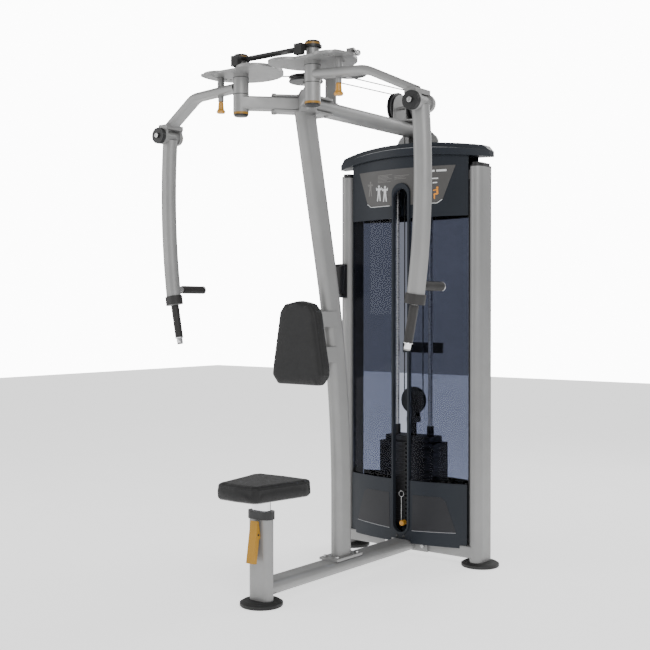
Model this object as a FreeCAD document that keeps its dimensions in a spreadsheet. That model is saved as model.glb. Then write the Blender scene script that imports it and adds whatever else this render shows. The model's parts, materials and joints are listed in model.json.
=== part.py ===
"""Pec deck machine (chest fly and rear delt) with its own selectorised weight stack.

Frame: millimetres, +Z up, +Y from the seat towards the weight tower, +X to the machine's right
as seen from behind the tower. Heights are above the floor. Sub-parts are laid out from the
tower's column axis at y = 0, and frame_shift_y then moves them all, so that the origin is on
the floor in the middle of the machine.
"""
import FreeCAD, Part
import Sketcher
import math
import os
import re
from FreeCAD import Placement, Rotation, Vector

os.makedirs("parts", exist_ok=True)
doc = FreeCAD.newDocument("pec_deck_machine")

# ---------------------------------------------------------------- driving dimensions
DIMENSIONS = {
    "frame_shift_y": 531, "tube_wall": 3, "running_gap": 0.05, "moving_gap": 0.4,
    "foot_radius": 80, "foot_height": 21,
    "column_x": 335.7, "column_depth": 120, "column_width": 60, "column_top": 1689,
    "plug_height": 18,
    "beam_base": 38, "beam_height": 50, "base_beam_width": 100, "crossbeam_depth": 120,
    "seat_post_y": 1028, "seat_post_width": 100, "seat_post_depth": 50, "seat_post_top": 321,
    "collar_height": 29, "seat_tube_width": 80, "seat_tube_depth": 38,
    "post_y": 538, "post_depth": 100, "post_width": 50, "post_plate_thickness": 10,
    "post_lean": 12.5, "post_bend_radius": 4250, "post_bend_centre": 795.5,
    "pivot_x": 174, "pivot_y": 944, "pivot_radius": 30, "shaft_radius": 15,
    "housing_base": 1840, "housing_top": 1909, "sleeve_top": 1973,
    "cam_base": 1986, "cam_thickness": 10, "cam_radius": 163, "hub_top": 2034,
    "shaft_base": 1832, "shaft_top": 2043, "pin_circle": 112, "pin_hole_radius": 7,
    "head_y": 770, "head_plate_thickness": 8, "yoke_width": 60,
    "top_beam_base": 1850, "top_beam_width": 100, "top_beam_end": 26,
    "bend_x": 414, "bend_y": 942, "bend_z": 1924, "bend_radius": 110,
    "arm_depth": 60, "arm_height": 30, "arm_start_z": 1936, "arm_end_x": 592, "arm_end_z": 1838,
    "knuckle_x": 608, "knuckle_y": 897, "knuckle_z": 1793, "knuckle_radius": 32, "barrel_radius": 25,
    "swing_depth": 50, "swing_width": 64, "swing_end_x": 583, "swing_end_z": 1112,
    "cable_radius": 2.5, "cam_cable_radius": 152.5, "cable_line": 48.6, "cable_height": 2010,
    "pulley_radius": 59.5, "pulley_thickness": 24, "guide_radius": 69, "guide_wrap": 58.1,
    "guide_x": 106.7, "guide_y": 631, "top_wheel_z": 1971, "cable_bend": 300,
    "stack_pulley_z": 687,
    "shell_half_width": 300, "shell_side_y": 45, "shell_crown_y": 100, "shell_wall": 4,
    "lower_shell_base": 75, "lower_shell_top": 347, "upper_shell_base": 1486,
    "upper_shell_top": 1786, "slot_half_width": 36, "slot_base": 118, "slot_top": 1614,
    "slot_rim": 9, "slot_hood": 14,
    "rod_x": 87, "rod_radius": 10, "stack_width": 278, "stack_depth": 120,
    "stack_base": 146, "plate_pitch": 19, "plate_slit": 0.8, "stem_radius": 13.5,
    "pad_top": 460, "pad_thickness": 60, "crossmember_base": 1640, "crossmember_height": 40,
}
PLATE_COUNT = 19
sheet = doc.addObject("Spreadsheet::Sheet", "dims")
for row, (alias, number) in enumerate(DIMENSIONS.items(), start=1):
    sheet.set(f"A{row}", alias.replace("_", " "))
    sheet.set(f"B{row}", str(number))
    sheet.setAlias(f"B{row}", alias)
doc.recompute()

NODES = []
SIDES = {"left": -1, "right": 1}
TURNS = {
    "Z": Rotation(),
    "Y": Rotation(Vector(1, 0, 0), -90),
    "X": Rotation(Vector(0, 1, 0), 90),
    "-Y": Rotation(Vector(1, 0, 0), 90),
}


def size(alias):
    """A driving dimension as a number, for the shapes that are set by code."""
    return float(sheet.get(alias))


def formula(value):
    """An expression of the sheet's dimensions, from text that uses their plain names."""
    return re.sub(r"[a-z_]+", lambda m: "dims." + m[0] if m[0] in DIMENSIONS else m[0], str(value))


def bind(obj, **values):
    """Bind properties to expressions; a double underscore stands for a dot."""
    for name, value in values.items():
        obj.setExpression(name.replace("__", "."), formula(value))
    return obj


def place(obj, x=0, y=0, z=0, turn=Rotation()):
    obj.Placement = Placement(Vector(), turn)
    return bind(obj, Placement__Base__x=x, Placement__Base__y=y, Placement__Base__z=z)


def finish(obj, label):
    """Give a sub-part its name and move it into the machine's own frame."""
    obj.Label = label
    bound = dict(obj.ExpressionEngine).get(".Placement.Base.y", "0")
    obj.setExpression("Placement.Base.y", f"({bound}) + dims.frame_shift_y")
    NODES.append(obj)
    return obj


# ---------------------------------------------------------------- building blocks
def cylinder(radius, length, x=0, y=0, z=0, along="Z"):
    """A cylinder that starts at (x, y, z) and runs along an axis."""
    obj = doc.addObject("Part::Cylinder", "cylinder")
    bind(obj, Radius=radius, Height=length)
    return place(obj, x, y, z, TURNS[along])


def cone(low_radius, top_radius, length, x=0, y=0, z=0, along="Z"):
    obj = doc.addObject("Part::Cone", "cone")
    bind(obj, Radius1=low_radius, Radius2=top_radius, Height=length)
    return place(obj, x, y, z, TURNS[along])


def block(along_x, along_y, along_z, x=0, y=0, z=0):
    """A box centred on (x, y) that stands on z."""
    obj = doc.addObject("Part::Box", "block")
    bind(obj, Length=along_x, Width=along_y, Height=along_z)
    return place(obj, f"({x}) - ({along_x}) / 2", f"({y}) - ({along_y}) / 2", z)


def hex_head(radius, height, x=0, y=0, z=0, turn=Rotation()):
    """A hexagonal bolt head that stands on (x, y, z)."""
    obj = doc.addObject("Part::Prism", "hex_head")
    obj.Polygon = 6
    bind(obj, Circumradius=radius, Height=height)
    return place(obj, x, y, z, turn)


def fuse(parts):
    obj = doc.addObject("Part::MultiFuse", "fusion")
    obj.Shapes = parts
    return obj


def group(parts):
    """Separate solids that share one sub-part."""
    obj = doc.addObject("Part::Compound", "group")
    obj.Links = parts
    return obj


def common(parts):
    obj = doc.addObject("Part::MultiCommon", "common")
    obj.Shapes = parts
    return obj


def cut(base, tools):
    obj = doc.addObject("Part::Cut", "cut")
    obj.Base = base
    obj.Tool = tools[0] if len(tools) == 1 else fuse(tools)
    return obj


def mirrored(base):
    """The mirror image across the machine's middle plane, x = 0."""
    obj = doc.addObject("Part::Mirroring", "mirrored")
    obj.Source = base
    obj.Normal = Vector(1, 0, 0)
    return obj


def tube(outer, inner, length, x=0, y=0, z=0, along="Z"):
    return cut(cylinder(outer, length, x, y, z, along), [cylinder(inner, length, x, y, z, along)])


def solid(name, shape):
    """A sub-part or tool whose curved shape is set by code."""
    obj = doc.addObject("Part::Feature", name)
    obj.Shape = shape
    return place(obj)


def body(name, x=0, y=0, z=0, turn=Rotation()):
    return place(doc.addObject("PartDesign::Body", name), x, y, z, turn)


def sketch(owner, plane="XY_Plane"):
    """A sketch on one of the body's own origin planes."""
    drawing = owner.newObject("Sketcher::SketchObject", "sketch")
    origin_plane = next(f for f in owner.Origin.OriginFeatures if f.Role == plane)
    drawing.AttachmentSupport = [(origin_plane, "")]
    drawing.MapMode = "FlatFace"
    return drawing


def flat_oval(drawing, across, thick, tag):
    """A stadium centred on the sketch's origin: across along its x, thick along its y."""
    first = drawing.GeometryCount
    up = Vector(0, 0, 1)
    drawing.addGeometry([
        Part.ArcOfCircle(Part.Circle(Vector(20, 0, 0), up, 10), -math.pi / 2, math.pi / 2),
        Part.LineSegment(Vector(20, 10, 0), Vector(-20, 10, 0)),
        Part.ArcOfCircle(Part.Circle(Vector(-20, 0, 0), up, 10), math.pi / 2, 3 * math.pi / 2),
        Part.LineSegment(Vector(-20, -10, 0), Vector(20, -10, 0)),
    ], False)
    for step in range(4):
        nxt = (step + 1) % 4
        drawing.addConstraint(Sketcher.Constraint("Tangent", first + step, 2, first + nxt, 1))
    drawing.addConstraint(Sketcher.Constraint("Equal", first, first + 2))
    drawing.addConstraint(Sketcher.Constraint("Symmetric", first, 3, first + 2, 3, -1, 1))
    drawing.addConstraint(Sketcher.Constraint("PointOnObject", first, 3, -1))
    radius = drawing.addConstraint(Sketcher.Constraint("Radius", first, 10))
    spread = drawing.addConstraint(Sketcher.Constraint("DistanceX", first + 2, 3, first, 3, 40))
    drawing.renameConstraint(radius, tag + "_radius")
    drawing.renameConstraint(spread, tag + "_spread")
    drawing.setExpression(f"Constraints.{tag}_radius", formula(f"({thick}) / 2"))
    drawing.setExpression(f"Constraints.{tag}_spread", formula(f"({across}) - ({thick})"))


def outline(drawing, corners):
    """A closed outline of straight edges; each corner is a pair of expressions."""
    count = len(corners)
    first = drawing.GeometryCount
    rough = [Vector(1 + 9 * math.cos(0.3 + 2 * math.pi * i / count),
                    1 + 9 * math.sin(0.3 + 2 * math.pi * i / count), 0) for i in range(count)]
    for step in range(count):
        drawing.addGeometry(Part.LineSegment(rough[step], rough[(step + 1) % count]), False)
    for step in range(count):
        joined = Sketcher.Constraint("Coincident", first + step, 2, first + (step + 1) % count, 1)
        drawing.addConstraint(joined)
    for step, corner in enumerate(corners):
        for kind, letter, value in zip(("DistanceX", "DistanceY"), "xy", corner):
            number = drawing.addConstraint(Sketcher.Constraint(kind, -1, 1, first + step, 1, 1.0))
            tag = f"{letter}{first + step}"
            drawing.renameConstraint(number, tag)
            drawing.setExpression(f"Constraints.{tag}", formula(value))


def pad(owner, drawing, length, both_ways=False):
    feature = owner.newObject("PartDesign::Pad", "pad")
    feature.Profile = drawing
    feature.Midplane = both_ways
    feature.setExpression("Length", formula(length))
    return feature


def revolve(owner, drawing):
    """A full turn of the sketch about the body's own Z axis."""
    feature = owner.newObject("PartDesign::Revolution", "revolution")
    feature.Profile = drawing
    axis = next(f for f in owner.Origin.OriginFeatures if f.Role == "Z_Axis")
    feature.ReferenceAxis = (axis, [""])
    feature.Angle = 360
    return feature


def turned(name, corners, x=0, y=0, z=0, turn=Rotation()):
    """A lathe-turned body from its half outline of (radius, height) pairs."""
    owner = body(name, x, y, z, turn)
    drawing = sketch(owner, "XZ_Plane")
    outline(drawing, corners)
    revolve(owner, drawing)
    return owner


def oval_bar(name, across, thick, length, x=0, y=0, z=0, turn=Rotation(), wall="tube_wall"):
    """A straight flat-oval tube, padded along the body's Z; wall=None makes it solid."""
    owner = body(name, x, y, z, turn)
    drawing = sketch(owner)
    flat_oval(drawing, across, thick, "outer")
    if wall:
        flat_oval(drawing, f"({across}) - 2 * {wall}", f"({thick}) - 2 * {wall}", "inner")
    pad(owner, drawing, length)
    return owner


def box_bar(name, across, tall, length, x, y, z, turn, corner=8, wall="tube_wall"):
    """A straight rounded rectangular tube along the body's Z; wall=None makes it solid."""
    owner = body(name, x, y, z, turn)
    drawing = sketch(owner)
    half_x, half_y = f"({across}) / 2", f"({tall}) / 2"
    outline(drawing, [(f"-{half_x}", f"-{half_y}"), (half_x, f"-{half_y}"), (half_x, half_y),
                      (f"-{half_x}", half_y)])
    feature = pad(owner, drawing, length)
    doc.recompute()
    rounding = owner.newObject("PartDesign::Fillet", "rounding")
    long_edges = [f"Edge{n}" for n, edge in enumerate(feature.Shape.Edges, start=1)
                  if abs(edge.tangentAt(edge.FirstParameter).z) > 0.9]
    rounding.Base = (feature, long_edges)
    rounding.Radius = corner
    if wall:
        bore = sketch(owner)
        in_x, in_y = f"({across}) / 2 - {wall}", f"({tall}) / 2 - {wall}"
        outline(bore, [(f"-({in_x})", f"-({in_y})"), (in_x, f"-({in_y})"), (in_x, in_y),
                       (f"-({in_x})", in_y)])
        pocket = owner.newObject("PartDesign::Pocket", "pocket")
        pocket.Profile = bore
        pocket.Reversed = True
        pocket.setExpression("Length", formula(length))
    return owner


def rounded_path(points, radii):
    """A wire of straight runs through the points, each inner corner rounded to its radius."""
    edges = []
    start = points[0]
    for index, radius in enumerate(radii, start=1):
        corner = points[index]
        back = (points[index - 1] - corner).normalize()
        ahead = (points[index + 1] - corner).normalize()
        half_turn = (math.pi - back.getAngle(ahead)) / 2
        reach = radius * math.tan(half_turn)
        middle = corner + (back + ahead).normalize() * (radius / math.cos(half_turn) - radius)
        edges.append(Part.LineSegment(start, corner + back * reach).toShape())
        edges.append(Part.Arc(corner + back * reach, middle, corner + ahead * reach).toShape())
        start = corner + ahead * reach
    edges.append(Part.LineSegment(start, points[-1]).toShape())
    return Part.Wire(edges)


def swept_oval(path, across, thick, wide_axis):
    """A flat oval swept along a path object; wide_axis is the way its long side points."""
    drawing = doc.addObject("Sketcher::SketchObject", "section")
    flat_oval(drawing, across, thick, "outer")
    wire = path.Shape.Wires[0]
    first_edge = wire.OrderedEdges[0]
    tangent = first_edge.tangentAt(first_edge.FirstParameter)
    drawing.Placement = Placement(wire.OrderedVertexes[0].Point,
                                  Rotation(wide_axis, Vector(), tangent, "ZXY"))
    doc.recompute()
    run = doc.addObject("Part::Sweep", "sweep")
    run.Sections = [drawing]
    run.Spine = (path, [f"Edge{n + 1}" for n in range(len(path.Shape.Edges))])
    run.Solid = True
    run.Frenet = False
    return run


def bent_tube(name, wire, across, thick, wide_axis):
    """A hollow flat-oval tube along a bent wire."""
    path = solid(name + "_path", wire)
    inner = (f"{across} - 2 * tube_wall", f"{thick} - 2 * tube_wall")
    return cut(swept_oval(path, across, thick, wide_axis), [swept_oval(path, *inner, wide_axis)])


# ---------------------------------------------------------------- base and columns
def make_base(bolts):
    foot = [(0, 0), ("foot_radius - 3", 0), ("foot_radius", 3), ("foot_radius", "foot_height - 8"),
            ("foot_radius - 10", "foot_height - 2"), ("foot_radius - 16", "foot_height"),
            (0, "foot_height")]
    spots = {"foot_front": (0, "-seat_post_y"), "foot_left": ("-column_x", 0),
             "foot_right": ("column_x", 0)}
    finish(group([turned(name, foot, *spot) for name, spot in spots.items()]), "feet")
    for side, sign in SIDES.items():
        column = oval_bar("column", "column_depth", "column_width", "column_top - foot_height",
                          f"{sign} * column_x", 0, "foot_height", Rotation(Vector(0, 0, 1), 90))
        finish(column, "column_" + side)
    plugs = []
    for sign in SIDES.values():
        lid = oval_bar("plug", "column_depth", "column_width", "plug_height / 3",
                       f"{sign} * column_x", 0, "column_top", Rotation(Vector(0, 0, 1), 90), None)
        dome = oval_bar("dome", "column_depth - 14", "column_width - 14", "plug_height",
                        f"{sign} * column_x", 0, "column_top", Rotation(Vector(0, 0, 1), 90), None)
        plugs.append(fuse([lid, dome]))
    finish(group(plugs), "column_caps")
    cross = box_bar("crossbeam", "crossbeam_depth", "beam_height", "2 * column_x",
                    "-column_x", 0, "beam_base + beam_height / 2",
                    Rotation(Vector(0, 1, 0), Vector(0, 0, 1), Vector(1, 0, 0), "ZXY"), 6)
    copes = [oval_bar("cope", "column_depth", "column_width", 200, f"{sign} * column_x", 0, 0,
                      Rotation(Vector(0, 0, 1), 90), None) for sign in SIDES.values()]
    finish(cut(cross, copes), "base_crossbeam")
    beam = oval_bar("beam", "base_beam_width", "beam_height",
                    "seat_post_y - crossbeam_depth / 2 - 10", 0, "-seat_post_y",
                    "beam_base + beam_height / 2",
                    Rotation(Vector(1, 0, 0), Vector(0, 0, -1), Vector(0, 1, 0), "ZXY"))
    flange = block(230, 10, "beam_height - 2", 0, "-crossbeam_depth / 2 - 5", "beam_base + 1")
    post_room = oval_bar("post_room", "seat_post_width", "seat_post_depth", 300,
                         0, "-seat_post_y", 0, wall=None)
    finish(cut(fuse([beam, flange]), [post_room]), "base_beam")
    for sign in SIDES.values():
        bolts.append(hex_head(9, 7, f"{sign} * 92", "-crossbeam_depth / 2 - 10",
                              "beam_base + beam_height / 2", TURNS["-Y"]))
        for end in (-1, 1):
            spot = f"-post_y + {end} * (post_depth / 2 + 16)"
            bolts.append(hex_head(9, 7, f"{sign} * 28", spot,
                                  "beam_base + beam_height + post_plate_thickness"))
    seat_post = oval_bar("seat_post", "seat_post_width", "seat_post_depth",
                         "seat_post_top - foot_height", 0, "-seat_post_y", "foot_height")
    finish(seat_post, "seat_post")


def make_main_post():
    lean = math.radians(size("post_lean"))
    foot_y = -size("post_y")
    plate_top = size("beam_base") + size("beam_height") + size("post_plate_thickness")
    bend_z = size("post_bend_centre")
    top_z = size("housing_base") + 60
    points = [Vector(0, foot_y, plate_top), Vector(0, foot_y, bend_z),
              Vector(0, foot_y - (top_z - bend_z) * math.tan(lean), top_z)]
    wire = rounded_path(points, [size("post_bend_radius")])
    post = bent_tube("post", wire, "post_depth", "post_width", Vector(0, 1, 0))
    above = block(300, 300, 200, 0, "-head_y", "top_beam_base - head_plate_thickness")
    base = block("post_width + 40", "post_depth + 70", "post_plate_thickness", 0, "-post_y",
                 "beam_base + beam_height")
    finish(fuse([cut(post, [above]), base]), "main_post")
    return swept_oval(solid("post_line", wire), "post_depth", "post_width", Vector(0, 1, 0))


# ---------------------------------------------------------------- head and pivots
LEG_TURNS = {side: Rotation(Vector(1, sign, 0), Vector(), Vector(sign, -1, 0), "ZXY")
             for side, sign in SIDES.items()}


def yoke_leg(side, wall):
    return box_bar("leg", "yoke_width", "beam_height", "(pivot_y - head_y) * sqrt(2)", 0,
                   "-head_y", "top_beam_base + beam_height / 2", LEG_TURNS[side], wall=wall)


def head_plate(z):
    """A plate with three arms, over or under the joint of the post, beam and yoke."""
    corners = [(-50, 120), (50, 120), (50, 10), (113, -71), (71, -113), (0, -42), (-71, -113),
               (-113, -71), (-50, 10)]
    owner = body("head_plate", 0, "-head_y", z)
    drawing = sketch(owner)
    outline(drawing, corners)
    feature = pad(owner, drawing, "head_plate_thickness")
    doc.recompute()
    rounding = owner.newObject("PartDesign::Fillet", "rounding")
    upright = [f"Edge{n}" for n, edge in enumerate(feature.Shape.Edges, start=1)
               if abs(edge.tangentAt(edge.FirstParameter).z) > 0.9]
    rounding.Base = (feature, upright)
    rounding.Radius = 12
    return owner


def make_head(bolts):
    housings = [cylinder("pivot_radius", "housing_top - housing_base", f"{sign} * pivot_x",
                         "-pivot_y", "housing_base") for sign in SIDES.values()]
    bores = [cylinder("shaft_radius + running_gap", 400, f"{sign} * pivot_x", "-pivot_y", 1700)
             for sign in SIDES.values()]
    legs = [yoke_leg(side, "tube_wall") for side in SIDES]
    finish(cut(fuse(legs + housings), bores), "head_yoke")
    plates = [head_plate("top_beam_base - head_plate_thickness"),
              head_plate("top_beam_base + beam_height")]
    finish(group(plates), "head_plates")
    spots = [(-85, -85), (85, -85), (-28, 95), (28, 95), (-38, 20), (38, 20)]
    for x, y in spots:
        top = "top_beam_base + beam_height + head_plate_thickness"
        bolts.append(hex_head(9, 7, x, f"-head_y + {y}", top))
        bolts.append(hex_head(9, 7, x, f"-head_y + {y}",
                              "top_beam_base - head_plate_thickness - 7"))
    shafts = [cylinder("shaft_radius", "shaft_top - shaft_base", f"{sign} * pivot_x", "-pivot_y",
                       "shaft_base") for sign in SIDES.values()]
    finish(group(shafts), "pivot_shafts")
    rings, caps = [], []
    for sign in SIDES.values():
        spot = (f"{sign} * pivot_x", "-pivot_y")
        rings.append(tube("pivot_radius - 0.5", "shaft_radius + running_gap",
                          "housing_base - shaft_base",
                          *spot, "shaft_base"))
        rings.append(cylinder("pivot_radius - 1", 8, *spot, "shaft_top"))
        cap = [(0, 0), ("pivot_radius - 2", 0), ("pivot_radius - 2", 4), ("pivot_radius - 6", 8),
               (0, 9)]
        caps.append(turned("cap", cap, *spot, "shaft_top + 8"))
        caps.append(turned("cap", cap, *spot, "shaft_base", Rotation(Vector(1, 0, 0), 180)))
    finish(group(rings), "pivot_rings")
    finish(group(caps), "pivot_caps")
    bar = block("2 * pivot_x", 40, "shaft_top - hub_top", 0, "-pivot_y", "hub_top")
    ends = [cylinder(34, "shaft_top - hub_top", f"{sign} * pivot_x", "-pivot_y", "hub_top")
            for sign in SIDES.values()]
    tabs = [block(34, 60, "shaft_top - hub_top", f"{sign} * (pivot_x - 21)", "-pivot_y - 32",
                  "hub_top") for sign in SIDES.values()]
    bar_bores = [cylinder("shaft_radius", 100, f"{sign} * pivot_x", "-pivot_y", 2000)
                 for sign in SIDES.values()]
    finish(cut(fuse([bar] + ends + tabs), bar_bores), "tie_bar")
    return [block(34, 22, 30, f"{sign} * (pivot_x - 21)", "-pivot_y - 51", "hub_top - 30")
            for sign in SIDES.values()]


def make_top_beam():
    turn = Rotation(Vector(1, 0, 0), Vector(0, 0, -1), Vector(0, 1, 0), "ZXY")
    beam = oval_bar("beam", "top_beam_width", "beam_height", "head_y + 20 + top_beam_end", 0,
                    "-head_y - 20", "top_beam_base + beam_height / 2", turn)
    tools = [yoke_leg(side, None) for side in SIDES]
    tools += [cylinder(8, 200, f"{sign} * cable_line", 0, 1800) for sign in SIDES.values()]
    finish(cut(beam, tools), "top_beam")
    rail_turn = Rotation(Vector(0, 1, 0), Vector(0, 0, 1), Vector(1, 0, 0), "ZXY")
    rail = box_bar("rail", 56, "crossmember_height", "2 * column_x - column_width",
                   "-column_x + column_width / 2", 0, "crossmember_base + crossmember_height / 2",
                   rail_turn, 5)
    plate = body("gusset", 0, "top_beam_end + 10", 0)
    drawing = sketch(plate, "XZ_Plane")
    outline(drawing, [(-105, "crossmember_base"), (105, "crossmember_base"), (105, 1832),
                      (96, 1848), (50, 1888), (-50, 1888), (-96, 1848), (-105, 1832)])
    pad(plate, drawing, 10)
    ribs = [block(6, "top_beam_end + 8", "top_beam_base - crossmember_base - crossmember_height",
                  f"{sign} * 26", "top_beam_end / 2 - 4",
                  "crossmember_base + crossmember_height") for sign in SIDES.values()]
    holes = [cylinder(8, 400, f"{sign} * cable_line", 0, 1500) for sign in SIDES.values()]
    holes += [cylinder("rod_radius", 400, f"{sign} * rod_x", 0, 1400) for sign in SIDES.values()]
    finish(cut(fuse([rail, plate] + ribs), holes), "tower_neck")


# ---------------------------------------------------------------- pulleys and cable
def pulley_profile(rim, line):
    """Half outline of a grooved pulley about its axis, centred on the groove."""
    half = "pulley_thickness / 2"
    groove = f"{line} - cable_radius - 0.3"
    return [(8.1, f"-{half}"), (f"{rim} - 2", f"-{half}"), (rim, f"-{half} + 2"),
            (rim, -5.5), (groove, -3.2), (groove, 3.2), (rim, 5.5),
            (rim, f"{half} - 2"), (f"{rim} - 2", half), (8.1, half)]


def make_pulleys():
    top_y = "-guide_wrap"
    top_z = "top_wheel_z"
    beam_top = "top_beam_base + beam_height"
    head_profile = pulley_profile("guide_radius", "guide_wrap")
    for side, sign in SIDES.items():
        finish(turned("pulley", head_profile, f"{sign} * cable_line", top_y, top_z, TURNS["X"]),
               "top_pulley_" + side)
        finish(turned("pulley", head_profile, f"{sign} * guide_x", "-guide_y", "cable_height"),
               "guide_pulley_" + side)
    stack_profile = pulley_profile("pulley_radius", "cable_line")
    finish(turned("pulley", stack_profile, 0, 0, "stack_pulley_z", TURNS["Y"]), "stack_pulley")
    cheeks = []
    for sign in SIDES.values():
        for face, radius in ((-17, 58), (17, 34)):
            x = f"{sign} * (cable_line + {face}) - 2"
            cheeks.append(cylinder(radius, 4, x, top_y, top_z, "X"))
            cheeks.append(block(4, 2 * radius, f"{top_z} - top_beam_base - beam_height",
                                f"{x} + 2", top_y, beam_top))
    foot = block(136, 136, 5, 0, f"{top_y} - 4", beam_top)
    bores = [cylinder(8.05, 200, -100, top_y, top_z, "X")]
    holes = [cylinder(8, 300, f"{sign} * cable_line", 0, 1800) for sign in SIDES.values()]
    rooms = [cylinder("guide_radius + 3", 27, f"{sign} * cable_line - 13.5", top_y, top_z, "X")
             for sign in SIDES.values()]
    finish(cut(fuse(cheeks + [foot]), bores + holes + rooms), "top_pulley_bracket")
    shelf = block("2 * guide_x + 50", 56, 6, 0, "-guide_y", "cable_height + 14")
    stand = block(50, 8, f"cable_height + 14 - ({beam_top})", 0, "-guide_y + 24", beam_top)
    stand_foot = block(46, 58, 6, 0, "-guide_y + 13", beam_top)
    shelf_bores = [cylinder(8.05, 60, f"{sign} * guide_x", "-guide_y", "cable_height")
                   for sign in SIDES.values()]
    finish(cut(fuse([shelf, stand, stand_foot]), shelf_bores), "guide_bracket")
    axles = [fuse([cylinder(8, 148, -74, top_y, top_z, "X"),
                   cylinder(14, 6, -74, top_y, top_z, "X"), cylinder(14, 6, 68, top_y, top_z, "X")])]
    for sign in SIDES.values():
        spot = (f"{sign} * guide_x", "-guide_y")
        axles.append(fuse([cylinder(8, 34, *spot, "cable_height - 14"),
                           hex_head(13, 7, *spot, "cable_height - 20.5"),
                           hex_head(12, 7, *spot, "cable_height + 20")]))
    finish(group(axles), "pulley_axles")


def cable_route(sign):
    """Tangent points of one cable from its cam, round the guide pulley to the top pulley."""
    cam_centre = Vector(sign * size("pivot_x"), -size("pivot_y"), 0)
    wrap = size("guide_wrap")
    guide = Vector(sign * size("guide_x"), -size("guide_y"), 0)
    cam_wrap = size("cam_cable_radius")
    between = guide - cam_centre
    tilt = math.asin((cam_wrap + wrap) / between.Length)
    heading = math.atan2(between.y, between.x) + sign * tilt
    along = Vector(math.cos(heading), math.sin(heading), 0)
    normal = Vector(sign * along.y, -sign * along.x, 0)
    return cam_centre + normal * cam_wrap, guide - normal * wrap, guide


def upright(slope):
    """The direction square to a line that climbs backwards at an angle."""
    return Vector(0, -math.sin(slope), math.cos(slope))


def make_cables():
    """The centre line of each cable along the top of the machine."""
    runs = []
    height = Vector(0, 0, size("cable_height"))
    wrap, line, bend = size("guide_wrap"), size("cable_line"), size("cable_bend")
    for sign in SIDES.values():
        leave, meet, guide = cable_route(sign)
        middle = guide + ((meet - guide) + Vector(-sign * wrap, 0, 0)).normalize() * wrap
        turn_end = guide + Vector(-sign * wrap, 0, 0)
        start = turn_end + height
        wheel = Vector(sign * line, -wrap, size("top_wheel_z"))
        bend_centre = start + Vector(0, 0, bend)
        between = wheel - bend_centre
        slope = math.atan2(between.z, between.y) + math.asin((bend + wrap) / between.Length)
        bend_middle = bend_centre - upright(slope / 2) * bend
        rise = bend_centre - upright(slope) * bend
        over = wheel + upright(slope) * wrap
        crown = wheel + upright(slope / 2 - math.pi / 4) * wrap
        drop = wheel + Vector(0, wrap, 0)
        edges = [Part.LineSegment(leave + height, meet + height).toShape(),
                 Part.Arc(meet + height, middle + height, start).toShape(),
                 Part.Arc(start, bend_middle, rise).toShape(),
                 Part.LineSegment(rise, over).toShape(),
                 Part.Arc(over, crown, drop).toShape()]
        runs.append(Part.Wire(edges))
    return runs


def round_cable(name, wire):
    """A round cable swept along a wire."""
    start = wire.OrderedVertexes[0].Point
    first_edge = wire.OrderedEdges[0]
    tangent = first_edge.tangentAt(first_edge.FirstParameter)
    ring = Part.Wire(Part.Circle(start, tangent, size("cable_radius")).toShape())
    return wire.makePipeShell([ring], True, False)


def make_cable_nodes():
    runs = [solid("run", round_cable("run", wire)) for wire in make_cables()]
    finish(group(runs), "cable_head")
    drops = [cylinder("cable_radius", "top_wheel_z - stack_pulley_z",
                      f"{sign} * cable_line", 0, "stack_pulley_z") for sign in SIDES.values()]
    finish(group(drops), "cable_drops")


# ---------------------------------------------------------------- cams and arms
def make_cam(side, sign):
    centre = ("-pivot_y", "cam_base")
    disc = cylinder("cam_radius", "cam_thickness", f"{sign} * pivot_x", *centre)
    front = block(400, 200, "cam_thickness", f"{sign} * pivot_x", "-pivot_y - 164", "cam_base")
    outer_lobe = cylinder(66, "cam_thickness", f"{sign} * (pivot_x + 92)", "-pivot_y - 15",
                          "cam_base")
    inner_lobe = cylinder(73, "cam_thickness", f"{sign} * (pivot_x - 96)", "-pivot_y - 25",
                          "cam_base")
    plate = fuse([cut(disc, [front]), outer_lobe, inner_lobe])
    track_base = "cam_base + cam_thickness"
    track_top = "cable_height + pulley_thickness / 2"
    groove_base = "cable_height - 4"
    lower = tube("cam_cable_radius + 6", "cam_cable_radius - 24",
                 f"{groove_base} - ({track_base})", f"{sign} * pivot_x", "-pivot_y", track_base)
    core = tube("cam_cable_radius - cable_radius - 0.3", "cam_cable_radius - 24", 8,
                f"{sign} * pivot_x", "-pivot_y", groove_base)
    upper = tube("cam_cable_radius + 6", "cam_cable_radius - 24",
                 f"{track_top} - cable_height - 4", f"{sign} * pivot_x", "-pivot_y",
                 "cable_height + 4")
    front_half = block(400, 400, 60, f"{sign} * pivot_x", "-pivot_y - 160", track_base)
    track = cut(fuse([lower, core, upper]), [front_half])
    spacer = cylinder("pivot_radius - 1", "cam_base - sleeve_top", f"{sign} * pivot_x",
                      "-pivot_y", "sleeve_top")
    hub = cylinder(24, "hub_top - moving_gap - cam_base", f"{sign} * pivot_x", *centre)
    bores = [cylinder("shaft_radius + running_gap", 200, f"{sign} * pivot_x", "-pivot_y", 1900)]
    for step in range(-3, 4):
        angle = math.radians(4 + 12 * step)
        x = f"{sign} * (pivot_x + pin_circle * {math.cos(angle):.6f})"
        y = f"-pivot_y + pin_circle * {math.sin(angle):.6f}"
        bores.append(cylinder("pin_hole_radius", 60, x, y, 1960))
    finish(cut(fuse([plate, track, spacer, hub]), bores), "cam_" + side)


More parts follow.
